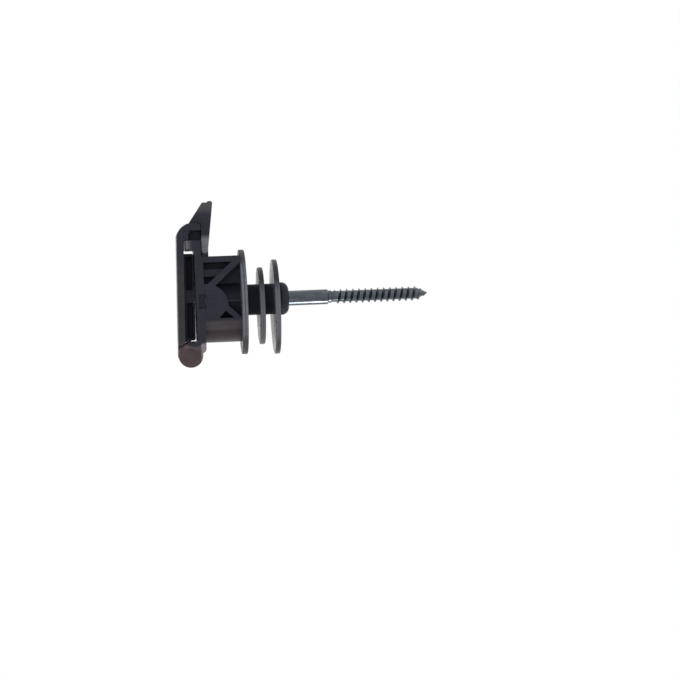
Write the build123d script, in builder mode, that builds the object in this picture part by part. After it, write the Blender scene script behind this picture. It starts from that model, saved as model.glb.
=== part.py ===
from build123d import *
import os

# Screw-in insulator for 40 mm electric-fence tape.
# Frame: the screw runs along X and enters the post in the +X direction, Z is up, the tape
# runs along Y. The origin is on the screw axis where the thread leaves the post face.

# ---- driving dimensions, mm ----
tape_width = 40.0
tape_play = 2.2
tape_gap = 0.75            # between pad and tape wall at the foot of the pad
tape_pinch = 0.3           # the same at the top of the pad
slot_rise = 2.7            # middle of the tape slot above the screw axis
clip_width = 34.0          # across the tape slot, along Y

post_standoff = 20.1       # bare steel between the post and the sleeve
sleeve_length = 19.95
sleeve_radius = 7.2
nose_length = 4.0
nose_radius = 7.6
nose_round = 3.3
spigot_radius = 5.6
spigot_length = 6.0

flange_thick = 2.6
flange_radius = 24.2
flange_drop = 0.85         # flange centre below the screw axis

shed_thick = 2.6
shed_small_radius = 17.85
shed_small_drop = 2.95
shed_small_station = 5.7   # clear of the flange
shed_large_radius = 21.9
shed_large_drop = 3.6
shed_pitch = 6.7
disc_edge_round = 0.5

box_length = 16.7
box_half_width = 16.7
box_top = 20.4
box_top_wall = 2.7
barrel_radius = 19.0       # round underside of the bracket, about the screw axis
pocket_floor = -7.6
web_thick = 2.4
boss_radius = 8.0
back_wall = 3.9

knee_radius = 10.0         # half-round boss where the ribs of the K meet
knee_x = 0.8
knee_z = -2.1
rib_thick = 2.9
rib_foot = (2.0, 6.2)
rib_head = (box_length, 19.2)
strut_thick = 2.0
strut_foot = (9.0, -2.0)
strut_head = (box_length, -9.2)
shelf_low = 11.3
shelf_high = 14.5
shelf_reach = 7.6          # of its lower edge, from the tape wall
shelf_slant = 4.0          # its upper edge reaches this much farther
shelf_inset = 3.0
gusset_pocket = ((6.2, -7.8), (9.4, -4.5), (13.2, -7.8))
fin_thick = 0.9            # fin beside the screw boss, from the half-round to the flange
fin_start = 9.6
fin_inset = 4.0
rosette_x = 2.6
rosette_radius = 2.6
rosette_hole = 1.7
rosette_rise = 0.4
eye_half = 3.2             # half the height of the screw window in the back wall
eye_depth = 2.2
eye_out = 2.5
eye_in = 0.8

ledge_thick = 4.1
ledge_reach = 3.7
ledge_setback = 0.8        # of the ledge's end from the back of the tape wall
floor_thick = 2.0
floor_reach = 4.8
floor_round = 1.8
heel_radius = 2.3
heel_drop = 0.8

hinge_radius = 5.6
hinge_drop = 5.8           # hinge axis below the slot floor
lug_setback = 1.0          # the lugs' outer faces stand back from the clip's sides
lug_thick = 5.5
lug_shoulder = 1.6
lug_edge_round = 0.6
knuckle_radius = 3.4
knuckle_play = 0.3
swing_play = 0.4
pin_radius = 1.5
pin_fit = 0.03
pin_head_radius = 3.1
pin_head_thick = 1.0

gate_wall = 3.2
gate_lean = 1.3            # the gate's top stands this much nearer the post than its foot
gate_round = 5.0
gate_edge_round = 0.8
gate_foot_play = 1.1
lip_window = 4.5
lip_thick = 3.2
lip_play = 0.3
lip_web = 14.0
catch_height = 0.5
catch_width = 0.9
catch_setback = 1.5
catch_half = 9.0

pad_depth = 4.35
pad_inset = 3.9
pad_top_play = 1.8
pad_bottom_play = 0.9
pad_skin = 0.9
pad_rim = 1.3
pad_web = 3.0
pad_bar_low = -0.4
pad_bar_high = 5.4
pad_peg_radius = 2.0
pad_peg_length = 1.6
pad_peg_root = 1.0         # sunk into the pad
pad_peg_pitch = 24.0

latch_half = 14.0
latch_play = 0.5
latch_wall = 2.9
latch_pivot_rise = 3.1
latch_pivot_radius = 1.55
latch_seat_play = 0.05
latch_head_play = 0.2
latch_nose_reach = 5.5
latch_nose_thick = 1.8
latch_nose_rise = 2.2
latch_head_height = 9.8
latch_plate = 2.5
latch_lean = 2.85
latch_root = 1.6
latch_cheek = 2.4
latch_stiffener = 2.2
latch_tip_step = 0.6       # back plate stands this much above the cheeks
latch_tip_reach = 0.9
latch_tip_round = 1.0
latch_face = 0.6           # skin of the thumb tab between its cheeks, at the top

screw_radius = 3.5
screw_fit = 0.03
screw_relief_radius = 2.9
screw_relief = 1.75
thread_length = 40.0
thread_tip = 5.0
tip_radius = 0.4
anchor_flats = 11.0
anchor_length = 6.0
anchor_wall = 1.4

# ---- stations along the screw, counted back from the post ----
x_nose = -post_standoff
x_flange = x_nose - sleeve_length
x_box = x_flange - flange_thick
x_back = x_box - box_length
x_face = x_back - back_wall
x_pad = x_face - tape_gap
x_gate = x_pad - pad_depth
x_front = x_gate - gate_wall
x_anchor = x_back + anchor_wall

# ---- heights ----
slot_top = slot_rise + (tape_width + tape_play) / 2
slot_floor = slot_rise - (tape_width + tape_play) / 2
ledge_top = slot_top + ledge_thick
lip_bottom = ledge_top + lip_window
lip_top = lip_bottom + lip_thick
floor_bottom = slot_floor - floor_thick

hinge_z = slot_floor - hinge_drop
gate_slope = gate_lean / (lip_top - hinge_z)
hinge_x = x_front + gate_slope * (hinge_z - slot_rise) + hinge_radius
clip_half = clip_width / 2
lug_outer = clip_half - lug_setback
lug_inner = lug_outer - lug_thick
ledge_end = x_back - ledge_setback
arm_front = ledge_end + latch_play
pivot_x = arm_front + latch_wall / 2
pivot_z = box_top + latch_pivot_rise
nose_tip = arm_front - latch_nose_reach
latch_bottom = lip_top + latch_head_play
latch_top = latch_bottom + latch_head_height
cheek_top = latch_top - latch_tip_step
cheek_top_x = arm_front + latch_tip_reach

parts_folder = "parts"
os.makedirs(parts_folder, exist_ok=True)


def on_box(point):
    """A point of the rib pattern, given from the back of the tape wall, in the XZ plane."""
    return (x_back + point[0], point[1])


def leaning(x, z):
    """A point of the gate, given by where it is at the middle of the slot and by its height."""
    return (x + gate_slope * (z - slot_rise), z)


def disc_section(start, thick, radius, drop):
    """Half section of a disc across the screw, its rim rounded and its centre below the axis."""
    with BuildSketch(Plane.XZ) as section:
        with Locations((start + thick / 2, radius / 2 - drop)):
            Rectangle(thick, radius)
        fillet(section.vertices().group_by(Axis.Z)[-1], disc_edge_round)
    return section.sketch


def disc_axis(drop):
    """The line along the screw about which such a disc is turned."""
    return Axis((0, 0, -drop), (1, 0, 0))


# ---- bracket: one moulding from the tape wall to the flange ----
with BuildPart() as bracket:
    # body: round below, flat on top, with flat flanks
    with BuildSketch(Plane.YZ.offset(x_back)):
        Circle(barrel_radius)
        Rectangle(2 * box_half_width, 2 * barrel_radius, mode=Mode.INTERSECT)
        with Locations((0, box_top / 2)):
            Rectangle(2 * box_half_width, box_top)
    extrude(amount=box_length)

    # side pockets between the ribs, open to both flanks
    with BuildSketch(Plane.XZ):
        with BuildLine():
            Polyline(
                on_box((0, box_top - box_top_wall)),
                on_box((box_length, box_top - box_top_wall)),
                on_box((box_length, pocket_floor)),
                on_box(strut_foot),
                on_box((0, knee_z)),
                close=True,
            )
        make_face()
        with Locations(on_box((knee_x, knee_z))):
            Circle(knee_radius, mode=Mode.SUBTRACT)
        with BuildLine():
            Line(on_box(rib_foot), on_box(rib_head))
        trace(line_width=rib_thick, mode=Mode.SUBTRACT)
        with BuildLine():
            Line(on_box(strut_foot), on_box(strut_head))
        trace(line_width=strut_thick, mode=Mode.SUBTRACT)
        with BuildLine():
            Polyline(*[on_box(p) for p in gusset_pocket], close=True)
        make_face()
    extrude(amount=clip_width, both=True, mode=Mode.SUBTRACT)

    # web on the middle plane closes the pockets half way through
    with BuildSketch(Plane.XZ):
        with Locations((x_back + box_length / 2, 0)):
            Rectangle(box_length, 2 * (box_top - box_top_wall / 2))
    extrude(amount=web_thick / 2, both=True)

    # shelf rib, set back from the flanks, as far as the long rib
    with BuildSketch(Plane.XZ):
        with BuildLine():
            Polyline(
                on_box((0, shelf_low)),
                on_box((shelf_reach, shelf_low)),
                on_box((shelf_reach + shelf_slant, shelf_high)),
                on_box((0, shelf_high)),
                close=True,
            )
        make_face()
    extrude(amount=box_half_width - shelf_inset, both=True)

    # screw boss through the middle of the box, with a fin at either side
    with BuildSketch(Plane.YZ.offset(x_back)):
        Circle(boss_radius)
    extrude(amount=box_length)
    with BuildSketch(Plane.YZ.offset(x_back + fin_start)):
        Rectangle(2 * (box_half_width - fin_inset), fin_thick)
    extrude(amount=box_length - fin_start)

    # raised ring on each flank, beside the square eye
    with BuildSketch(Plane.XZ):
        with Locations(on_box((rosette_x, 0))):
            Circle(rosette_radius)
            Circle(rosette_hole, mode=Mode.SUBTRACT)
    extrude(amount=box_half_width + rosette_rise, both=True)

    # flange against which the sleeve stands
    revolve(disc_section(x_box, flange_thick, flange_radius, flange_drop), axis=disc_axis(flange_drop))

    # tape wall with the ledge above the slot and the floor below it
    with BuildSketch(Plane.XZ):
        with BuildLine():
            Polyline(
                (x_back, box_top),
                (ledge_end, box_top),
                (ledge_end, ledge_top),
                (x_face - ledge_reach, ledge_top),
                (x_face - ledge_reach, slot_top),
                (x_face, slot_top),
                (x_face, slot_floor),
                (x_face - floor_reach, slot_floor),
                (x_face - floor_reach, floor_bottom),
                (x_back, floor_bottom),
                close=True,
            )
        make_face()
        fillet(vertices().group_by(Axis.Y)[0], floor_round)
    extrude(amount=clip_half, both=True)

    # stump that carries the latch, with a cradle for the latch pivot
    with BuildSketch(Plane.XZ):
        with Locations((pivot_x, box_top + latch_pivot_rise / 2)):
            Rectangle(latch_wall, latch_pivot_rise)
        with Locations((pivot_x, pivot_z)):
            Circle(latch_pivot_radius + latch_seat_play, mode=Mode.SUBTRACT)
    extrude(amount=latch_half, both=True)

    # hinge lugs either side of the gate knuckle, with a heel behind them
    for side in (-1, 1):
        with BuildSketch(Plane.XZ.offset(side * lug_inner)):
            with Locations((hinge_x, hinge_z)):
                Circle(hinge_radius)
            with Locations((hinge_x - lug_shoulder, hinge_z)):
                Rectangle(lug_shoulder + hinge_radius, slot_floor - hinge_z - floor_thick / 2,
                          align=(Align.MIN, Align.MIN))
            with Locations((x_back - heel_radius, floor_bottom - heel_drop)):
                Circle(heel_radius)
                Rectangle(2 * heel_radius, heel_drop + floor_thick, align=(Align.CENTER, Align.MIN))
            with Locations((hinge_x, floor_bottom - heel_drop)):
                Rectangle(x_back - heel_radius - hinge_x, heel_drop + floor_thick / 2,
                          align=(Align.MIN, Align.MIN))
        extrude(amount=side * (lug_outer - lug_inner))

    lug_ends = edges().filter_by(GeomType.CIRCLE).filter_by(
        lambda edge: abs(edge.radius - hinge_radius) < 0.01 and abs(abs(edge.center().Y) - lug_outer) < 0.01)
    fillet(lug_ends, lug_edge_round)

    # bores: hinge pin, screw with its hexagon seat, spigot of the sleeve
    with BuildSketch(Plane.XZ):
        with Locations((hinge_x, hinge_z)):
            Circle(pin_radius + pin_fit)
    extrude(amount=clip_width, both=True, mode=Mode.SUBTRACT)
    with BuildSketch(Plane.YZ.offset(x_anchor)):
        Circle(screw_radius + screw_fit)
    extrude(amount=x_flange - x_anchor, mode=Mode.SUBTRACT)
    with BuildSketch(Plane.YZ.offset(x_anchor)):
        RegularPolygon(anchor_flats / 2, 6, major_radius=False)
    extrude(amount=anchor_length, mode=Mode.SUBTRACT)
    with BuildSketch(Plane.YZ.offset(x_flange - spigot_length)):
        Circle(spigot_radius)
    extrude(amount=spigot_length, mode=Mode.SUBTRACT)

    # square eye at the screw end, sunk in both edges of the tape wall
    for side in (-1, 1):
        with BuildSketch(Plane.XZ.offset(side * clip_half)):
            with Locations((x_back + (eye_in - eye_out) / 2, 0)):
                Rectangle(eye_out + eye_in, 2 * eye_half)
        extrude(amount=-side * eye_depth, mode=Mode.SUBTRACT)
bracket.part.label = "bracket"
export_step(bracket.part, f"{parts_folder}/bracket.step")

# ---- insulating sleeve between the flange and the post ----
with BuildPart() as sleeve:
    with BuildSketch(Plane.XZ):
        with BuildLine():
            Polyline(
                (x_flange - spigot_length, screw_radius + screw_fit),
                (x_flange - spigot_length, spigot_radius),
                (x_flange, spigot_radius),
                (x_flange, sleeve_radius),
                (x_nose - nose_length, sleeve_radius),
                (x_nose - nose_length, nose_radius),
                (x_nose, nose_radius),
                (x_nose, screw_radius + screw_fit),
                close=True,
            )
        make_face()
    revolve(axis=Axis.X)
    fillet(edges().filter_by(GeomType.CIRCLE).group_by(Axis.X)[-1].sort_by(SortBy.RADIUS)[-1], nose_round)
sleeve.part.label = "sleeve"
export_step(sleeve.part, f"{parts_folder}/sleeve.step")

# ---- two rain sheds, threaded over the sleeve and hanging lower than they stand ----
for name, station, radius, drop in (
    ("small_shed", shed_small_station, shed_small_radius, shed_small_drop),
    ("large_shed", shed_small_station + shed_pitch, shed_large_radius, shed_large_drop),
):
    with BuildPart() as shed:
        revolve(disc_section(x_flange + station, shed_thick, radius, drop), axis=disc_axis(drop))
        with BuildSketch(Plane.YZ.offset(x_flange + station)):
            Circle(sleeve_radius)
        extrude(amount=shed_thick, mode=Mode.SUBTRACT)
    shed.part.label = name
    export_step(shed.part, f"{parts_folder}/{name}.step")

# ---- post screw: hexagon anchor, bare shank, relief and wood thread ----
with BuildPart() as post_screw:
    with BuildSketch(Plane.XZ):
        with BuildLine():
            Polyline(
                (x_anchor, 0),
                (x_anchor, screw_radius),
                (-screw_relief, screw_radius),
                (-screw_relief, screw_relief_radius),
                (0, screw_relief_radius),
                (0, screw_radius),
                (thread_length, screw_radius),
                (thread_length + thread_tip, tip_radius),
                (thread_length + thread_tip, 0),
                close=True,
            )
        make_face()
    revolve(axis=Axis.X)
    with BuildSketch(Plane.YZ.offset(x_anchor)):
        RegularPolygon(anchor_flats / 2, 6, major_radius=False)
    extrude(amount=anchor_length)
post_screw.part.label = "post_screw"
export_step(post_screw.part, f"{parts_folder}/post_screw.step")

# ---- gate: front wall, lip over the ledge, knuckle on the hinge pin ----
with BuildPart() as gate:
    with BuildSketch(Plane.XZ):
        with BuildLine():
            Polyline(
                leaning(x_front, hinge_z),
                leaning(x_front, lip_top),
                (arm_front - lip_play, lip_top),
                (arm_front - lip_play, lip_bottom),
                leaning(x_gate, lip_bottom),
                leaning(x_gate, hinge_z),
                close=True,
            )
        make_face()
        fillet(vertices().group_by(Axis.Y)[-1].sort_by(Axis.X)[0], gate_round)
    extrude(amount=clip_half, both=True)
    flank_edges = edges().group_by(Axis.Y)[0] + edges().group_by(Axis.Y)[-1]
    fillet(flank_edges.filter_by(lambda edge: edge.center().X < x_front + gate_wall / 2), gate_edge_round)

    # clear of the lugs all the way round the hinge
    for side in (-1, 1):
        with BuildSketch(Plane.XZ.offset(side * (lug_inner - knuckle_play))):
            with Locations((hinge_x, hinge_z)):
                Circle(hinge_radius + swing_play)
        extrude(amount=side * clip_width, mode=Mode.SUBTRACT)
        with BuildSketch(Plane.XZ.offset(side * (lug_inner - knuckle_play))):
            with Locations((hinge_x - hinge_radius, hinge_z)):
                Rectangle(2 * hinge_radius, 2 * (slot_floor - hinge_z - gate_foot_play))
        extrude(amount=side * clip_width, mode=Mode.SUBTRACT)

    # knuckle
    with BuildSketch(Plane.XZ):
        with Locations((hinge_x, hinge_z)):
            Circle(knuckle_radius)
        with BuildLine():
            Polyline(
                leaning(x_front, hinge_z),
                (hinge_x, hinge_z - knuckle_radius),
                (hinge_x, hinge_z),
                leaning(x_gate, floor_bottom),
                leaning(x_front, floor_bottom),
                close=True,
            )
        make_face()
        with Locations((hinge_x, hinge_z)):
            Circle(pin_radius + pin_fit, mode=Mode.SUBTRACT)
    extrude(amount=lug_inner - knuckle_play, both=True)

    # web in the corner under the lip, and catch ridge on top of the lip
    with BuildSketch(Plane.XZ):
        with BuildLine():
            Polyline(
                leaning(x_gate - gate_wall / 2, ledge_top + lip_play),
                (arm_front - lip_play, ledge_top + lip_play),
                (arm_front - lip_play, lip_bottom + lip_thick / 2),
                leaning(x_gate - gate_wall / 2, lip_bottom + lip_thick / 2),
                close=True,
            )
        make_face()
    extrude(amount=lip_web / 2, both=True)
    with BuildSketch(Plane.XZ):
        with Locations((nose_tip + latch_nose_thick + catch_setback + catch_width / 2,
                        lip_top + catch_height / 2)):
            Rectangle(catch_width, catch_height)
    extrude(amount=catch_half, both=True)

    # pin bore, and two blind holes for the pegs of the pad
    with BuildSketch(Plane.XZ):
        with Locations((hinge_x, hinge_z)):
            Circle(pin_radius + pin_fit)
    extrude(amount=clip_width, both=True, mode=Mode.SUBTRACT)
    with BuildSketch(Plane.YZ.offset(x_gate + pad_peg_root)):
        with Locations((0, slot_rise)):
            with GridLocations(1, pad_peg_pitch, 1, 2):
                Circle(pad_peg_radius)
    extrude(amount=-pad_peg_root - pad_peg_length, mode=Mode.SUBTRACT)
gate.part.label = "gate"
export_step(gate.part, f"{parts_folder}/gate.step")

# ---- pressure pad that holds the tape against the bracket ----
pad_top = slot_top - pad_top_play
pad_bottom = slot_floor + pad_bottom_play


def in_pad(share, z):
    """A point of the pad at a share of the way from the gate to the tape, at a height."""
    gate_side = leaning(x_gate, z)[0]
    closing = (z - pad_bottom) / (pad_top - pad_bottom)
    tape_side = x_pad + closing * (tape_gap - tape_pinch)
    return (gate_side + share * (tape_side - gate_side), z)


with BuildPart() as pad:
    with BuildSketch(Plane.XZ):
        with BuildLine():
            Polyline(in_pad(0, pad_bottom), in_pad(1, pad_bottom), in_pad(1, pad_top), in_pad(0, pad_top),
                     close=True)
        make_face()
        fillet(vertices().filter_by(lambda corner: corner.X > x_pad - pad_depth / 2), pad_skin)
    extrude(amount=clip_half - pad_inset, both=True)
    skin_share = pad_skin / pad_depth
    for side in (-1, 1):
        for low, high in ((pad_bottom + pad_rim, pad_bar_low), (pad_bar_high, pad_top - pad_rim)):
            with BuildSketch(Plane.XZ.offset(side * pad_web / 2)):
                with BuildLine():
                    Polyline(in_pad(skin_share, low), in_pad(1 - skin_share, low),
                             in_pad(1 - skin_share, high), in_pad(skin_share, high), close=True)
                make_face()
            extrude(amount=side * clip_half, mode=Mode.SUBTRACT)
    with BuildSketch(Plane.YZ.offset(x_gate + pad_peg_root)):
        with Locations((0, slot_rise)):
            with GridLocations(1, pad_peg_pitch, 1, 2):
                Circle(pad_peg_radius)
    extrude(amount=-pad_peg_root - pad_peg_length)
pad.part.label = "pressure_pad"
export_step(pad.part, f"{parts_folder}/pressure_pad.step")

# ---- latch lever: sprung arm with a thumb tab and a nose over the gate lip ----
def back_of_latch(height):
    """The sloping back of the lever at a height."""
    rise = (height - pivot_z) / (latch_top - pivot_z)
    return arm_front + latch_wall + latch_lean * rise


with BuildPart() as latch:
    # arm, and the back plate of the thumb tab that carries it on upwards
    with BuildSketch(Plane.XZ):
        with BuildLine():
            Polyline(
                (arm_front, pivot_z),
                (arm_front, latch_bottom + latch_root),
                (back_of_latch(latch_top) - latch_plate, latch_top),
                (back_of_latch(latch_top), latch_top),
                (back_of_latch(pivot_z), pivot_z),
                close=True,
            )
        make_face()
        fillet(vertices().group_by(Axis.Y)[-1], latch_tip_round)
        with Locations((pivot_x, pivot_z)):
            Circle(latch_pivot_radius)
    extrude(amount=latch_half, both=True)

    # cheeks at both sides, and a stiffener between them that clears the catch
    cheek = (
        (nose_tip, latch_bottom),
        (cheek_top_x, cheek_top),
        (back_of_latch(cheek_top) - latch_plate / 2, cheek_top),
        (back_of_latch(latch_bottom) - latch_plate / 2, latch_bottom),
    )
    with BuildSketch(Plane.XZ):
        with BuildLine():
            Polyline(*cheek, close=True)
        make_face()
    extrude(amount=latch_half, both=True)
    for side in (-1, 1):
        with BuildSketch(Plane.XZ.offset(side * latch_stiffener / 2)):
            with BuildLine():
                Polyline(
                    (nose_tip + latch_nose_thick, latch_bottom - latch_head_play),
                    (nose_tip + latch_nose_thick, latch_bottom + latch_nose_rise),
                    (cheek_top_x + latch_face, cheek_top),
                    (cheek_top_x + latch_face, latch_top + latch_plate),
                    (back_of_latch(latch_top) - latch_plate, latch_top + latch_plate),
                    (back_of_latch(latch_top) - latch_plate, latch_top),
                    (arm_front, latch_bottom + latch_root),
                    (arm_front, latch_bottom - latch_head_play),
                    close=True,
                )
            make_face()
        extrude(amount=side * (latch_half - latch_cheek - latch_stiffener / 2), mode=Mode.SUBTRACT)
    with BuildSketch(Plane.XZ):
        with Locations((nose_tip + latch_nose_thick, latch_bottom)):
            Rectangle(arm_front - nose_tip - latch_nose_thick, catch_height + latch_play,
                      align=(Align.MIN, Align.MIN))
    extrude(amount=latch_half - latch_cheek, both=True, mode=Mode.SUBTRACT)
latch.part.label = "latch_lever"
export_step(latch.part, f"{parts_folder}/latch_lever.step")

# ---- hinge pin with a domed head, and the cap pressed on its far end ----
head_seat = lug_outer
dome_radius = (pin_head_radius**2 + pin_head_thick**2) / (2 * pin_head_thick)
dome_middle = (dome_radius**2 - (pin_head_radius / 2)**2)**0.5 - dome_radius + pin_head_thick
with BuildPart() as hinge_pin:
    with BuildSketch(Plane.YZ.offset(hinge_x)):
        with BuildLine():
            Line((-head_seat - pin_head_thick, hinge_z), (head_seat + pin_head_thick / 2, hinge_z))
            Line((head_seat + pin_head_thick / 2, hinge_z),
                 (head_seat + pin_head_thick / 2, hinge_z + pin_radius))
            Line((head_seat + pin_head_thick / 2, hinge_z + pin_radius),
                 (-head_seat, hinge_z + pin_radius))
            Line((-head_seat, hinge_z + pin_radius), (-head_seat, hinge_z + pin_head_radius))
            ThreePointArc((-head_seat, hinge_z + pin_head_radius),
                          (-head_seat - dome_middle, hinge_z + pin_head_radius / 2),
                          (-head_seat - pin_head_thick, hinge_z))
        make_face()
    revolve(axis=Axis((hinge_x, 0, hinge_z), (0, 1, 0)))
hinge_pin.part.label = "hinge_pin"
export_step(hinge_pin.part, f"{parts_folder}/hinge_pin.step")

with BuildPart() as pin_cap:
    with BuildSketch(Plane.YZ.offset(hinge_x)):
        with BuildLine():
            Line((head_seat, hinge_z), (head_seat + pin_head_thick, hinge_z))
            ThreePointArc((head_seat + pin_head_thick, hinge_z),
                          (head_seat + dome_middle, hinge_z + pin_head_radius / 2),
                          (head_seat, hinge_z + pin_head_radius))
            Line((head_seat, hinge_z + pin_head_radius), (head_seat, hinge_z))
        make_face()
    revolve(axis=Axis((hinge_x, 0, hinge_z), (0, 1, 0)))
    with BuildSketch(Plane.XZ.offset(-head_seat)):
        with Locations((hinge_x, hinge_z)):
            Circle(pin_radius)
    extrude(amount=-pin_head_thick / 2, mode=Mode.SUBTRACT)
pin_cap.part.label = "pin_cap"
export_step(pin_cap.part, f"{parts_folder}/pin_cap.step")
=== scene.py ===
"""Screw-in insulator for 40 mm electric-fence tape: the looks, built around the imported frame.

The screw runs along X, into the post at +X. Z is up and the tape runs along Y. Everything is in
metres, apart from the values that a comment or a docstring gives in millimetres.
"""
import math
from contextlib import contextmanager

import bmesh
import bpy
import numpy as np
from mathutils import Matrix, Vector


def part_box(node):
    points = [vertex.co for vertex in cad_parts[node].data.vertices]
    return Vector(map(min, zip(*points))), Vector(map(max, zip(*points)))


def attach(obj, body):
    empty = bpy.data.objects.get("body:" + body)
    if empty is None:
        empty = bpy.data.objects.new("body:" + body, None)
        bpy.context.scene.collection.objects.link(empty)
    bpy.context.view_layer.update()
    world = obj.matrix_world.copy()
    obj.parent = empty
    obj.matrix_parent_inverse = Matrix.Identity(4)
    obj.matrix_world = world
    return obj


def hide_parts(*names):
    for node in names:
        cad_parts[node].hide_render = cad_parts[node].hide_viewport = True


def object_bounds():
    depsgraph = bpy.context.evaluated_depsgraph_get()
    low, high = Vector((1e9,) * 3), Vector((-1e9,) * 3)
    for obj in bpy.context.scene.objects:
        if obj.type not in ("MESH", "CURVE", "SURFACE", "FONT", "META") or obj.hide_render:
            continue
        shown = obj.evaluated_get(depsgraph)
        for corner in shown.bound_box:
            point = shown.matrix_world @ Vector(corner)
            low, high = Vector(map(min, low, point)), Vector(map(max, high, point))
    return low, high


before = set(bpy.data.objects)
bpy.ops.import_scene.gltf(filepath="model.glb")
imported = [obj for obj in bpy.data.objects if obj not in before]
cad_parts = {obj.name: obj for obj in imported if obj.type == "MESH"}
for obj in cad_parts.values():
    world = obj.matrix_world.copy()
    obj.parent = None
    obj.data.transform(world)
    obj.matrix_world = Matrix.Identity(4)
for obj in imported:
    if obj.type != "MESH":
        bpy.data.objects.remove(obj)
cad_low, cad_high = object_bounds()
MM = 0.001
X, Y, Z = range(3)
FULL_TURN = 2 * math.pi
QUARTER_TURN = math.pi / 2


# ---------------------------------------------------------------- places read from the frame
def span(node, axis):
    """Lowest and highest value of a node along an axis."""
    low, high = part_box(node)
    return low[axis], high[axis]


SLEEVE_X0, NOSE_X = span("sleeve", X)
SCREW_X0, SCREW_X1 = span("post_screw", X)
FLANGE_X = span("bracket", X)[1]
SCREW_RADIUS = 3.5 * MM
SLEEVE_RADIUS = 7.2 * MM

# In millimetres: how far in from a moulding's side its side zones reach, and how far from the
# clip's middle the sides of the clip, the latch and the pad begin, where tone, painted light and
# painted shade lie.
SIDE_SKIN = 0.8
CLIP_FLANK = 16.3
LATCH_FLANK = span("latch_lever", Y)[1] / MM - SIDE_SKIN
PAD_FLANK = span("pressure_pad", Y)[1] / MM - SIDE_SKIN


# ---------------------------------------------------------------- meshes
@contextmanager
def edited(mesh):
    """Opens a mesh for editing and writes it back at the end."""
    work = bmesh.new()
    work.from_mesh(mesh)
    yield work
    work.to_mesh(mesh)
    work.free()


def circle(count):
    """The angles of points spaced evenly round a circle."""
    return np.linspace(0, FULL_TURN, count, endpoint=False)


def turned(x, radius, angle):
    """Rings about the screw's axis: point(i, a) = (x_i, r sin a, r cos a). The radius r is one
    number for each ring, or one for each ring and angle."""
    radius = np.broadcast_to(radius, (len(x), len(angle)))
    along = np.repeat(np.asarray(x)[:, None], len(angle), axis=1)
    return np.stack([along, radius * np.sin(angle), radius * np.cos(angle)], axis=-1)


def ring_mesh(name, rings, endless=False):
    """A mesh from an array of rings (rings, points, 3). Each ring's last point joins its first,
    and in an endless mesh the last ring joins the first. Points that meet, as at a pole, are
    welded, faces without area go, and all faces are turned outwards."""
    count, around = rings.shape[:2]
    index = np.arange(count * around).reshape(count, around)
    if endless:
        index = np.vstack([index, index[:1]])
    index = np.hstack([index, index[:, :1]])
    corners = [index[:-1, :-1], index[1:, :-1], index[1:, 1:], index[:-1, 1:]]
    quads = np.stack(corners, axis=-1).reshape(-1, 4)
    mesh = bpy.data.meshes.new(name)
    mesh.from_pydata(rings.reshape(-1, 3).tolist(), [], quads.tolist())
    with edited(mesh) as work:
        bmesh.ops.remove_doubles(work, verts=work.verts, dist=0.001 * MM)
        bmesh.ops.dissolve_degenerate(work, edges=work.edges, dist=0.0001 * MM)
        bmesh.ops.recalc_face_normals(work, faces=work.faces)
    return mesh


def place(name, mesh, material, body, crisp_angle):
    """Puts a finished mesh in the scene as a piece that rides on a body. It is shaded smooth, with
    edges sharper than an angle in degrees left crisp."""
    obj = bpy.data.objects.new(name, mesh)
    bpy.context.scene.collection.objects.link(obj)
    mesh.materials.clear()
    mesh.materials.append(material)
    limit = math.radians(crisp_angle)
    with edited(mesh) as work:
        for face in work.faces:
            face.smooth = True
        for edge in work.edges:
            edge.smooth = len(edge.link_faces) == 2 and edge.calc_face_angle(math.pi) < limit
    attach(obj, body)
    return obj


# ---------------------------------------------------------------- nodes of a material
# The colour sockets of a Mix node.
MIX_FIRST = 6
MIX_SECOND = 7
MIX_RESULT = 2


def wire(tree, kind, sockets, **settings):
    """A new node with its sockets filled: an output is linked, anything else is the value."""
    node = tree.nodes.new(kind)
    for setting, value in settings.items():
        setattr(node, setting, value)
    for socket, value in sockets.items():
        if isinstance(value, bpy.types.NodeSocket):
            tree.links.new(value, node.inputs[socket])
        else:
            node.inputs[socket].default_value = value
    return node


def new_material(name):
    """A node material with its tree, its shader and the place on the object that it colours."""
    material = bpy.data.materials.new(name)
    material.use_nodes = True
    tree = material.node_tree
    coords = wire(tree, "ShaderNodeTexCoord", {})
    return material, tree, tree.nodes["Principled BSDF"], coords.outputs["Object"]


def noise(tree, spot, scale, detail, rough=0.5):
    """Noise over a place on the object, scale in features per metre."""
    sockets = {"Vector": spot, "Scale": scale, "Detail": detail, "Roughness": rough}
    return wire(tree, "ShaderNodeTexNoise", sockets).outputs["Fac"]


def drawn_out(tree, spot, share):
    """A place with X shortened to a share, so that a pattern there is drawn out along X."""
    return wire(tree, "ShaderNodeMapping", {"Vector": spot, "Scale": (share, 1, 1)}).outputs[0]


def fade(tree, value, start, first, end, last):
    """A colour that goes from first to last as a value goes from start to end."""
    node = wire(tree, "ShaderNodeValToRGB", {"Fac": value})
    stops = zip(node.color_ramp.elements, (start, end), (first, last))
    for element, position, colour in stops:
        element.position = position
        element.color = (*colour, 1.0)
    return node.outputs["Color"]


def grey(value):
    """The neutral colour of a value."""
    return (value,) * 3


def scaled(parts, factor):
    """A colour or a point with each part times a factor."""
    return tuple(factor * part for part in parts)


def mix(tree, factor, first, second, blend="MIX"):
    """Two colours blended by a factor."""
    sockets = {"Factor": factor, MIX_FIRST: first, MIX_SECOND: second}
    node = wire(tree, "ShaderNodeMix", sockets, data_type="RGBA", blend_type=blend)
    return node.outputs[MIX_RESULT]


def reckon(tree, operation, first, second):
    """A number worked out from two others."""
    return wire(tree, "ShaderNodeMath", {0: first, 1: second}, operation=operation).outputs[0]


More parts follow.
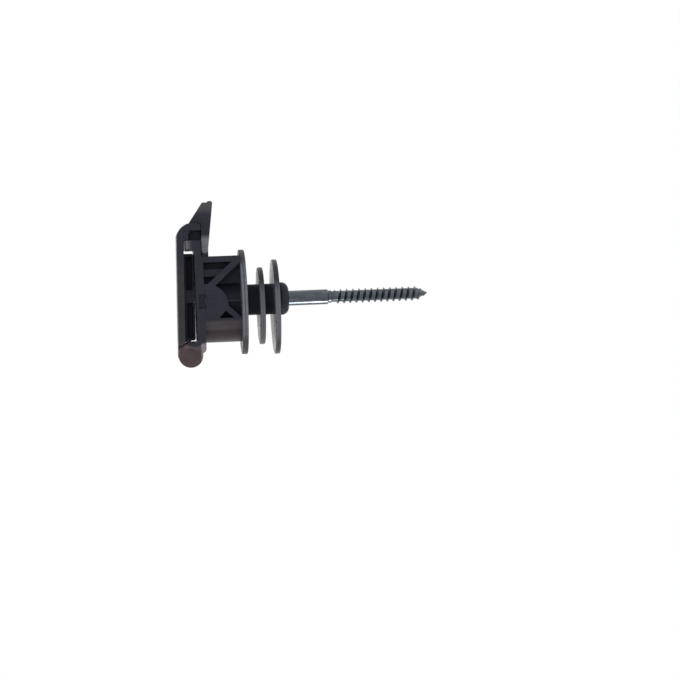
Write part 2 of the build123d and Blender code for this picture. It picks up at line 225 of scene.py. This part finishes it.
def bump(tree, shader, heights, distance):
    """Chains bumps, each a height and a strength, into the shader's normal."""
    normal = {}
    for height, strength in heights:
        sockets = {"Height": height, "Strength": strength, "Distance": distance, **normal}
        normal = {"Normal": wire(tree, "ShaderNodeBump", sockets).outputs["Normal"]}
    tree.links.new(normal["Normal"], shader.inputs["Normal"])


# ---------------------------------------------------------------- zones of tone, painted light and painted shade
# A measure is an axis or a line. A band is (measure, low, high, soft), and a zone is
# (bands, colour, amount): where all its bands meet, the colour covers by that amount.
# In millimetres: a distance that no part of the clip reaches, and how deep a disc's edge goes.
FAR = 100
EDGE_DEPTH = 0.35


def line(direction, point):
    """A measure of the distance from a line along an axis, through a point in millimetres: a mask
    of the two axes across the line, and the point."""
    mask = tuple(float(axis != direction) for axis in (X, Y, Z))
    return mask, scaled(point, MM)


def across(measure, low, high, soft):
    """A band between two values of a measure, in millimetres."""
    return measure, low * MM, high * MM, soft * MM


def below(measure, high, soft):
    """A band of all that lies under a value of a measure, in millimetres."""
    return across(measure, -FAR, high, soft)


def above(measure, low, soft):
    """A band of all that lies over a value of a measure, in millimetres."""
    return across(measure, low, FAR, soft)


def flanks(distance, soft):
    """The bands of both flanks of a moulding, beyond a distance from the clip's middle."""
    return below(Y, -distance, soft), above(Y, distance, soft)


def edge_of(radius, drop):
    """The outer edge of a disc whose centre hangs a drop below the screw, in millimetres."""
    return above(line(X, (0, 0, -drop)), radius - EDGE_DEPTH, 0.1)


def reading(tree, spot, measure):
    """How far a place is along an axis or away from a line."""
    if isinstance(measure, int):
        return wire(tree, "ShaderNodeSeparateXYZ", {0: spot}).outputs[measure]
    mask, point = measure
    flat = wire(tree, "ShaderNodeVectorMath", {0: spot, 1: mask}, operation="MULTIPLY")
    sockets = {0: flat.outputs["Vector"], 1: point}
    return wire(tree, "ShaderNodeVectorMath", sockets, operation="DISTANCE").outputs["Value"]


def inside(tree, spot, measure, low, high, soft):
    """1 inside a band, falling to 0 over a soft width beyond each end."""
    value = reading(tree, spot, measure)
    ends = []
    for zero, one in ((low - soft, low), (high + soft, high)):
        sockets = {"Value": value, "From Min": zero, "From Max": one}
        ends.append(wire(tree, "ShaderNodeMapRange", sockets).outputs["Result"])
    return reckon(tree, "MULTIPLY", *ends)


def tones_and_painted_light(tree, spot, colour, zones):
    """A colour with the tones, painted light and painted shade of its zones laid over it, a little
    uneven in streaks along X.
    """
    streak_noise = noise(tree, drawn_out(tree, spot, 0.25), scale=420, detail=4)
    for bands, tone, amount in zones:
        cover = fade(tree, streak_noise, 0.25, grey(0.85 * amount), 0.7, grey(amount))
        for band in bands:
            cover = reckon(tree, "MULTIPLY", inside(tree, spot, *band), cover)
        uneven = fade(tree, streak_noise, 0.3, scaled(tone, 0.85), 0.7, scaled(tone, 1.08))
        colour = mix(tree, cover, colour, uneven)
    return colour


# ---------------------------------------------------------------- materials
def moulded(name, dark, light, roughness, specular, zones):
    """Moulded polymer: cloudy tone with pale dust, zones of tone, painted light and painted shade,
    patchy gloss, and fine spark-eroded grain on a slight swell."""
    material, tree, shader, spot = new_material(name)
    cloud = noise(tree, spot, scale=90, detail=4)
    tone = fade(tree, cloud, 0.3, dark, 0.72, light)
    pale = fade(tree, cloud, 0.0, scaled(light, 1.4), 1.0, scaled(light, 2.0))
    dust = fade(tree, noise(tree, spot, scale=1800, detail=2), 0.62, grey(0), 0.8, grey(1))
    dusty = mix(tree, dust, tone, pale)
    tree.links.new(tones_and_painted_light(tree, spot, dusty, zones), shader.inputs["Base Color"])
    gloss = fade(tree, cloud, 0.25, grey(roughness - 0.07), 0.8, grey(roughness + 0.1))
    tree.links.new(gloss, shader.inputs["Roughness"])
    swell = noise(tree, spot, scale=260, detail=2)
    grain = noise(tree, spot, scale=3200, detail=3, rough=0.6)
    bump(tree, shader, [(swell, 0.25), (grain, 0.25)], 0.18 * MM)
    shader.inputs["Specular IOR Level"].default_value = specular
    return material


def zinc(name):
    """Zinc-plated steel: faint crystal patches, drawn lines along the shank and dull spots."""
    material, tree, shader, spot = new_material(name)
    cloud = noise(tree, spot, scale=420, detail=4)
    tone = fade(tree, cloud, 0.25, (0.090, 0.105, 0.118), 0.75, (0.142, 0.162, 0.180))
    drawn = drawn_out(tree, spot, 0.06)
    fine = noise(tree, drawn, scale=2600, detail=2)
    broad = noise(tree, drawn, scale=620, detail=2)
    dull = fade(tree, broad, 0.36, (0.62, 0.63, 0.64), 0.62, grey(1))
    tree.links.new(mix(tree, 1.0, tone, dull, "MULTIPLY"), shader.inputs["Base Color"])
    gloss = fade(tree, cloud, 0.3, grey(0.14), 0.8, grey(0.22))
    tree.links.new(gloss, shader.inputs["Roughness"])
    bump(tree, shader, [(fine, 0.12)], 0.08 * MM)
    shader.inputs["Metallic"].default_value = 1.0
    return material


# Dark tone, light tone, roughness and specular level.
BLACK = ((0.017, 0.0185, 0.026), (0.026, 0.027, 0.037), 0.42, 0.15)
DULL_BLACK = ((0.013, 0.0135, 0.020), (0.019, 0.0195, 0.028), 0.5, 0.12)
SLEEVE_BLACK = ((0.011, 0.012, 0.018), (0.017, 0.019, 0.027), 0.5, 0.14)
GREY = ((0.095, 0.099, 0.112), (0.125, 0.130, 0.145), 0.34, 0.15)
# Colours laid over zones: a brown painted reflection of a warm ground on the lowest parts, and
# painted shade on the sheds' upper rims.
BROWN_GROUND_REFLECTION = (0.085, 0.056, 0.056)
RIM_SHADE = (0.022, 0.022, 0.025)

CLIP_FLANKS = flanks(CLIP_FLANK, 0.3)
LEDGE = (across(Z, 24.2, 27.6, 0.6), across(X, -68, -66.4, 2.4))
FOOT = line(Y, (-64.5, 0, -13.96))
BOX = across(X, -59.2, -42, 0.2)
FLANGE = (X, FLANGE_X - 2.6 * MM, FLANGE_X + 1.0 * MM, 0.1 * MM)
FLANGE_SEAM = (X, FLANGE_X - 1.5 * MM, FLANGE_X - 1.1 * MM, 0.15 * MM)
FLANGE_RIM = edge_of(24.2, 0.85)
SMALL_SHED = across(X, -37, -31, 0.2)
SMALL_RIM = edge_of(17.85, 2.95)
LARGE_RIM = edge_of(21.9, 3.6)

# Painted light on both sides of the ledge.
LEDGE_PAINTED_LIGHT = [([*LEDGE, flank], (0.150, 0.150, 0.158), 0.85) for flank in CLIP_FLANKS]

# The lugs browned by painted reflection of a warm ground, the pale arc above them, a painted shadow
# line along it, and the pale heel.
FOOT_ZONES = [
    ([above(FOOT, 6.3, 0.3), below(Z, -18.3, 0.3), below(X, -58.6, 0.3)], BROWN_GROUND_REFLECTION, 0.9),
    ([across(FOOT, 6.5, 7.8, 0.8), below(Z, -18.8, 0.5)], (0.098, 0.086, 0.088), 0.8),
    ([across(FOOT, 6.0, 6.25, 0.2), below(Z, -18.7, 0.4)], (0.012, 0.012, 0.016), 0.9),
    ([below(Z, -19.8, 1.2), across(X, -61.3, -50, 0.8)], (0.29, 0.265, 0.275), 0.9),
]

# Painted reflection of a warm ground on the band along the foot of the box's side and on the round
# underside.
BOX_ZONES = [
    ([across(Z, -13.3, -9.5, 1.0), BOX], (0.064, 0.054, 0.060), 0.85),
    ([across(Z, -22, -13.6, 1.0), BOX], (0.030, 0.021, 0.023), 0.9),
]

# The whole flange, its rim, painted shade on the rim's upper and lower ends, and the seam round its
# middle.
FLANGE_ZONES = [
    ([FLANGE], (0.118, 0.122, 0.137), 0.95),
    ([FLANGE, FLANGE_RIM], (0.150, 0.155, 0.176), 0.95),
    ([FLANGE, FLANGE_RIM, above(Z, 19, 4)], (0.020, 0.020, 0.024), 0.95),
    ([FLANGE, FLANGE_RIM, below(Z, -19, 4)], (0.026, 0.025, 0.028), 0.9),
    ([FLANGE_SEAM, FLANGE_RIM, across(Z, -18, 18, 4)], (0.060, 0.060, 0.068), 0.9),
]
# Painted reflection of a warm ground on the gate's foot, and paler sides.
GATE_ZONES = [([below(Z, -19.5, 3.5)], BROWN_GROUND_REFLECTION, 0.85)] + [
    ([across(Z, -15, 12, 6), flank], (0.036, 0.035, 0.036), 0.8) for flank in CLIP_FLANKS
]
# Painted light on the ends of the lip bead, which lie in the gate's shade.
LIP_BEAD_PAINTED_LIGHT = [
    ([across(Z, 20, 27.5, 1.5), end], (0.42, 0.42, 0.43), 0.9) for end in flanks(12.7, 0.2)
]
# Painted light on the sides of the latch's lower arm, and paler sides at its head.
LATCH_ZONES = [
    ([height, cheek], tone, amount)
    for cheek in flanks(LATCH_FLANK, 0.3)
    for height, tone, amount in (
        (across(Z, 18, 28.5, 2), (0.180, 0.180, 0.192), 0.95),
        (above(Z, 42.5, 3), (0.085, 0.085, 0.082), 0.8),
    )
]
# Painted shade on the pad's sides above and below its middle.
PAD_PAINTED_SHADE = [
    ([flank, height], (0.0078, 0.0084, 0.0148), 0.9)
    for flank in flanks(PAD_FLANK, 0.3)
    for height in (below(Z, -2.0, 1.5), above(Z, 7.0, 1.5))
]
# Painted reflection of a warm ground on the pin's lowest part.
PIN_ZONES = [([below(Z, -20, 1)], BROWN_GROUND_REFLECTION, 0.85)]
NOSE_RINGS = [NOSE_X - back for back in (2.9 * MM, 2.0 * MM, 0.9 * MM)]
NOSE_ZONES = [
    ([(X, ring - 0.12 * MM, ring + 0.12 * MM, 0.15 * MM)], (0.034, 0.041, 0.045), 0.8)
    for ring in NOSE_RINGS
]
# Painted shade on the upper rims of both sheds and on the large rim's lower end.
SHED_PAINTED_SHADE = [
    ([SMALL_RIM, SMALL_SHED, above(Z, 9, 5)], RIM_SHADE, 0.9),
    ([LARGE_RIM, above(Z, 9, 5)], RIM_SHADE, 0.9),
    ([LARGE_RIM, below(Z, -20, 4)], (0.034, 0.034, 0.037), 0.85),
]

BRACKET_NYLON = moulded(
    "bracket_nylon", *BLACK, LEDGE_PAINTED_LIGHT + FOOT_ZONES + BOX_ZONES + FLANGE_ZONES)
GATE_NYLON = moulded("gate_nylon", *BLACK, GATE_ZONES)
LIP_BEAD_NYLON = moulded("bead_nylon", *BLACK, LIP_BEAD_PAINTED_LIGHT)
LATCH_NYLON = moulded("latch_nylon", *BLACK, LATCH_ZONES)
PIN_NYLON = moulded("pin_nylon", *BLACK, PIN_ZONES)
PAD_BLACK = moulded("pad_black", *DULL_BLACK, PAD_PAINTED_SHADE)
RIBBED_BLACK = moulded("sleeve_black", *SLEEVE_BLACK, NOSE_ZONES)
SHED_GREY = moulded("shed_grey", *GREY, SHED_PAINTED_SHADE)
ZINC_STEEL = zinc("zinc_steel")

# Angles between faces, in degrees: up to FLAT they are one face, over EASED the edge between them
# is eased, and over the others it stays crisp.
FLAT = 0.6
EASED = 38
MOULDING_CRISP = 28
SCREW_CRISP = 32
TURNED_CRISP = 50


# ---------------------------------------------------------------- mouldings kept from the frame
def flattened(mesh, radius, amount):
    """Draws the quarter round at a mesh's top front in towards its chord: about the round's centre
    line, a point at distance r and at angle a up from the front moves to
    r * (1 - amount * (1 - cos 45 / cos(a - 45))). The catch ridge stands higher, in the middle,
    so the round is found from the points near the flanks."""
    points = np.empty(len(mesh.vertices) * 3)
    mesh.vertices.foreach_get("co", points)
    points = points.reshape(-1, 3)
    by_flank = points[np.abs(points[:, Y]) > 0.7 * points[:, Y].max()]
    top = by_flank[:, Z].max()
    topmost = by_flank[by_flank[:, Z] > top - 0.01 * MM]
    centre = np.array([topmost[:, X].min(), top - radius])
    away = points[:, [X, Z]] - centre
    reach = np.hypot(*away.T)
    on_round = (away[:, 0] < 0) & (away[:, 1] > 0) & (reach > radius - 1.0 * MM)
    angle = np.arctan2(away[on_round, 1], -away[on_round, 0])
    half = QUARTER_TURN / 2
    share = 1 - amount * (1 - math.cos(half) / np.cos(angle - half))
    points[np.ix_(on_round, [X, Z])] = centre + away[on_round] * share[:, None]
    mesh.vertices.foreach_set("co", points.ravel())


def eased(node, material, width, body, flatten=None):
    """A CAD moulding with its sharp edges eased by a small width, as a mould leaves them. The
    copy's loose triangles are welded and its flat faces made whole first."""
    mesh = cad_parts[node].data.copy()
    if flatten:
        flattened(mesh, *flatten)
    with edited(mesh) as work:
        bmesh.ops.remove_doubles(work, verts=work.verts, dist=0.002 * MM)
        bmesh.ops.dissolve_limit(
            work, angle_limit=math.radians(FLAT), verts=work.verts, edges=work.edges)
    obj = place(f"{node}_moulding", mesh, material, body, MOULDING_CRISP)
    ease = obj.modifiers.new("eased_edges", "BEVEL")
    ease.width = width
    ease.segments = 2
    ease.limit_method = "ANGLE"
    ease.angle_limit = math.radians(EASED)
    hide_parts(node)


GATE_TOP_ROUND = 5.0 * MM
HALF_WAY = 0.5
eased("bracket", BRACKET_NYLON, 0.30 * MM, "root")
eased("gate", GATE_NYLON, 0.35 * MM, "gate", (GATE_TOP_ROUND, HALF_WAY))
eased("latch_lever", LATCH_NYLON, 0.30 * MM, "latch")
eased("pressure_pad", PAD_BLACK, 0.22 * MM, "gate")


# ---------------------------------------------------------------- beads and web behind the gate
def bar_mesh(name, outline, half):
    """A bar along Y. Its rings are the outline of (x, z) points in millimetres at y = -half and
    y = half, between two poles at the outline's middle that close its ends."""
    outline = np.array(outline) * MM
    pole = np.tile(outline.mean(axis=0), (len(outline), 1))
    sections = np.stack([pole, outline, outline, pole])
    y = np.broadcast_to(np.array([-1, -1, 1, 1])[:, None] * half, sections.shape[:2])
    return ring_mesh(name, np.dstack([sections[..., 0], y, sections[..., 1]]))


BEAD_HALF = 13.0 * MM
WEB_HALF = 16.5 * MM
FOOT_BEAD = [
    (-69.4, -17.2), (-69.4, -18.1), (-67.0, -18.2), (-66.5, -18.1), (-66.1, -17.8), (-65.9, -17.2)]
LIP_BEAD = [
    (-68.2, 23.9), (-67.3, 23.9), (-67.12, 24.2), (-67.12, 28.6), (-67.3, 28.9), (-68.2, 28.9)]
CORNER_WEB = [
    (-68.0, 28.15), (-65.7, 28.15), (-65.7, 30.6), (-65.0, 31.7), (-64.6, 32.7), (-68.0, 32.7)]
for name, outline, half, material in (
    ("gate_foot_bead", FOOT_BEAD, BEAD_HALF, GATE_NYLON),
    ("gate_lip_bead", LIP_BEAD, BEAD_HALF, LIP_BEAD_NYLON),
    ("gate_corner_gusset", CORNER_WEB, WEB_HALF, GATE_NYLON),
):
    bar = bar_mesh(name, outline, half)
    place(name, bar, material, "gate", MOULDING_CRISP)


# ---------------------------------------------------------------- sleeve and sheds
def sleeve_mesh():
    """A tube turned about the screw: spigot, ribbed barrel and rounded nose. On the barrel
    radius = sleeve radius - depth * (1 - cos(2 pi x / pitch)) / 2, a row of fine grooves."""
    pitch = 0.95 * MM
    depth = 0.16 * MM
    spigot_radius = 5.6 * MM
    barrel = SLEEVE_X0 + 6.0 * MM
    nose = NOSE_X - 4.0 * MM
    nose_radius = 7.6 * MM
    nose_step = 0.1 * MM
    rounding = 3.3 * MM
    bore = SCREW_RADIUS + 0.03 * MM
    bore_rim = 0.5 * MM
    x = np.linspace(barrel + 0.2 * MM, nose, 300)
    radius = SLEEVE_RADIUS - depth * (1 - np.cos(FULL_TURN * (x - barrel) / pitch)) / 2
    bend = np.linspace(0, QUARTER_TURN, 9)
    nose_x = NOSE_X - rounding + rounding * np.sin(bend)
    outline = [
        (SLEEVE_X0, bore), (SLEEVE_X0, spigot_radius),
        (barrel, spigot_radius), (barrel, SLEEVE_RADIUS),
        *zip(x, radius),
        (nose, nose_radius - nose_step), (nose + nose_step, nose_radius),
        *zip(nose_x, nose_radius - rounding * (1 - np.cos(bend))),
        (NOSE_X, bore + bore_rim), (NOSE_X - bore_rim, bore),
    ]
    outline = np.array(outline)
    rings = turned(outline[:, 0], outline[:, 1:], circle(128))
    return ring_mesh("sleeve", rings, endless=True)


def shed_mesh(name, node):
    """A disc with a bore off its centre. For t from 0 at the bore to 1 at the rim a point is
    bore circle * (1 - t) + rim circle * t, and each face leans in by lean * t. The rim has
    rounded edges and a fine seam round its middle."""
    rounding = 0.45 * MM
    lean = 0.12 * MM
    seam = 0.14 * MM
    (x0, _, z0), (x1, radius, z1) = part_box(node)
    centre_z = (z0 + z1) / 2
    angle = circle(144)
    bore_y = SLEEVE_RADIUS * np.sin(angle)
    bore_z = SLEEVE_RADIUS * np.cos(angle)

    def ring(x, t, shrink):
        rim_y = (radius - shrink) * np.sin(angle)
        rim_z = centre_z + (radius - shrink) * np.cos(angle)
        y = bore_y * (1 - t) + rim_y * t
        z = bore_z * (1 - t) + rim_z * t
        return np.stack([np.full_like(y, x), y, z], axis=-1)

    steps = np.linspace(0, 1, 12)
    bend = np.linspace(0, QUARTER_TURN, 7)
    # From bore to rim: depth into the disc, share t of the way out, and how far the rim shrinks.
    face = [(lean * t, t, rounding) for t in steps]
    face += [
        (lean + rounding * (1 - math.cos(a)), 1, rounding * (1 - math.sin(a))) for a in bend]
    middle = (x0 + x1) / 2
    rings = [ring(x0 + depth, t, shrink) for depth, t, shrink in face]
    rings += [ring(middle + side * seam, 1, seam * (1 - abs(side))) for side in (-1, 0, 1)]
    rings += [ring(x1 - depth, t, shrink) for depth, t, shrink in reversed(face)]
    return ring_mesh(name, np.stack(rings), endless=True)


sleeve = place(
    "ribbed_sleeve", sleeve_mesh(), RIBBED_BLACK, "root", TURNED_CRISP)
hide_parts("sleeve")
for node in ("small_shed", "large_shed"):
    disc = shed_mesh(f"{node}_disc", node)
    shed = place(f"{node}_disc", disc, SHED_GREY, "root", TURNED_CRISP)
    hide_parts(node)


# ---------------------------------------------------------------- screw, pin and cap
def screw_mesh():
    """Radius as a function of place x and turn a. Anchor: a hexagon, flats / cos of the angle
    from the nearest flat. Shank: round. Thread: core + crest * flank((x / pitch - a / 2 pi) mod 1),
    where flank rises and falls steeply round its middle and is 0 elsewhere. The thread fades in
    from the post's face, and the taper closes it to a point."""
    anchor_end = SCREW_X0 + 6.0 * MM
    flats = 5.5 * MM
    relief = -1.75 * MM
    relief_radius = 2.9 * MM
    chamfer = 0.25 * MM
    pitch = 2.9 * MM
    core = 2.55 * MM
    crest = 0.95 * MM
    flank_width = 0.21
    tip = 5.0 * MM
    tip_radius = 0.02 * MM
    angle = circle(72)

    sixth = FULL_TURN / 6
    hexagon = flats / np.cos((angle + sixth / 2) % sixth - sixth / 2)
    anchor_r = np.stack([0 * angle, hexagon, hexagon])
    anchor = turned([SCREW_X0, SCREW_X0, anchor_end], anchor_r, angle)

    shank_x = [anchor_end, relief - chamfer, relief, relief + chamfer, -chamfer]
    shank_r = [SCREW_RADIUS, SCREW_RADIUS, SCREW_RADIUS - chamfer, relief_radius, relief_radius]
    shank = turned(shank_x, np.array(shank_r)[:, None], angle)

    x = np.linspace(0, SCREW_X1, 560)
    phase = (x[:, None] / pitch - angle / FULL_TURN) % 1.0
    flank = np.clip(1 - np.abs(phase - 0.5) / flank_width, 0, 1) ** 0.85
    fade_in = np.clip(x / (0.8 * pitch), 0, 1)[:, None]
    taper = np.clip((SCREW_X1 - x) / tip, 0, 1)[:, None] ** 0.8
    thread_r = (core + crest * flank * fade_in) * taper + tip_radius * (1 - taper)
    thread_r[-1] = 0
    thread = turned(x, thread_r, angle)
    return ring_mesh("screw", np.concatenate([anchor, shank, thread]))


screw = place("threaded_screw", screw_mesh(), ZINC_STEEL, "root", SCREW_CRISP)
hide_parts("post_screw")

for node in ("hinge_pin", "pin_cap"):
    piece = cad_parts[node]
    piece.data.materials.clear()
    piece.data.materials.append(PIN_NYLON)


# ---------------------------------------------------------------- room, light and camera
def shown_or_lit(tree, shown, lit):
    """One shader for rays from the camera, off a glossy face or through clear matter, and another
    for rays off a matt face."""
    path = wire(tree, "ShaderNodeLightPath", {}).outputs
    reflected = reckon(tree, "MAXIMUM", path["Is Camera Ray"], path["Is Glossy Ray"])
    seen = reckon(tree, "MAXIMUM", reflected, path["Is Transmission Ray"])
    sockets = {0: seen, 1: lit.outputs[0], 2: shown.outputs[0]}
    return wire(tree, "ShaderNodeMixShader", sockets)


def white_stage(low):
    """A large pale floor: white where it is seen or reflected, a warm grey light on matt faces,
    clear from below."""
    bpy.ops.mesh.primitive_plane_add(size=12, location=(0, 0, low))
    floor = bpy.context.object
    floor.name = "floor"
    material = bpy.data.materials.new("pale_floor")
    material.use_nodes = True
    tree = material.node_tree
    white = wire(tree, "ShaderNodeEmission", {"Color": (1, 1, 1, 1)})
    warm_grey = wire(tree, "ShaderNodeEmission", {"Color": (0.82, 0.77, 0.75, 1)})
    top = shown_or_lit(tree, white, warm_grey)
    clear = wire(tree, "ShaderNodeBsdfTransparent", {})
    underside = wire(tree, "ShaderNodeNewGeometry", {}).outputs["Backfacing"]
    sockets = {0: underside, 1: top.outputs[0], 2: clear.outputs[0]}
    both = wire(tree, "ShaderNodeMixShader", sockets)
    tree.links.new(both.outputs[0], tree.nodes["Material Output"].inputs["Surface"])
    floor.data.materials.append(material)


def lamp(name, place_at, aim, size, power, seen_by="both", spread=180):
    """A square soft lamp aimed at a point, within a spread in degrees. It lights matt surfaces,
    glossy ones or both."""
    data = bpy.data.lights.new(name, "AREA")
    data.spread = math.radians(spread)
    data.energy = power
    data.size = size
    obj = bpy.data.objects.new(name, data)
    obj.location = place_at
    obj.rotation_euler = (Vector(aim) - Vector(place_at)).to_track_quat("-Z", "Y").to_euler()
    obj.visible_camera = False
    obj.visible_glossy = seen_by != "matt"
    obj.visible_diffuse = seen_by != "glossy"
    bpy.context.scene.collection.objects.link(obj)


def white_world():
    """White where it is seen or reflected, a softer blue-grey light on matt faces."""
    world = bpy.data.worlds.new("room")
    bpy.context.scene.world = world
    world.use_nodes = True
    tree = world.node_tree
    blue_grey = tree.nodes["Background"]
    blue_grey.inputs["Color"].default_value = (0.44, 0.47, 0.58, 1)
    white = wire(tree, "ShaderNodeBackground", {"Color": (1, 1, 1, 1)})
    both = shown_or_lit(tree, white, blue_grey)
    tree.links.new(both.outputs[0], tree.nodes["World Output"].inputs["Surface"])


def add_camera():
    """A long lens, level with the screw, a little left of square-on, and tilted with the post."""
    distance = 0.85
    view_width = 0.3105
    sensor = 36
    yaw = math.radians(5.7)
    roll = math.radians(2.3)
    rise = 20 * MM
    target = Vector((1.5 * MM, -17 * MM, -20 * MM))
    eye = target + Vector((-math.sin(yaw) * distance, -math.cos(yaw) * distance, rise))
    forward = (target - eye).normalized()
    right = forward.cross(Vector((0, 0, 1))).normalized()
    up = right.cross(forward)
    turned_right = right * math.cos(roll) - up * math.sin(roll)
    turned_up = up * math.cos(roll) + right * math.sin(roll)
    data = bpy.data.cameras.new("camera")
    data.sensor_width = sensor
    data.lens = sensor * distance / view_width
    data.clip_start = 0.01
    camera = bpy.data.objects.new("camera", data)
    basis = Matrix((turned_right, turned_up, -forward)).transposed().to_4x4()
    camera.matrix_world = Matrix.Translation(eye) @ basis
    bpy.context.scene.collection.objects.link(camera)
    bpy.context.scene.camera = camera


FLOOR_DROP = 0.05
CLIP_MIDDLE = (-0.03, 0, 0)
SHANK_MIDDLE = (-0.008, 0, 0)
white_stage(cad_low[Z] - FLOOR_DROP)
lamp("overhead", (-0.1, 0.45, 0.8), CLIP_MIDDLE, size=0.6, power=0.3, seen_by="matt")
lamp("key", (-0.55, -0.6, 0.6), CLIP_MIDDLE, size=0.12, power=0.5)
lamp("fill", (-0.13, -1.0, 0.05), CLIP_MIDDLE, size=0.3, power=3.3, seen_by="matt")
lamp("behind_left", (-0.14, 1.1, 0.05), CLIP_MIDDLE, size=0.35, power=0.35)
lamp("low_strip", (-0.008, -0.012, -0.074), SHANK_MIDDLE, size=0.03, power=0.0023,
     seen_by="glossy", spread=36)
white_world()
add_camera()
bpy.context.scene.view_settings.view_transform = "Standard"
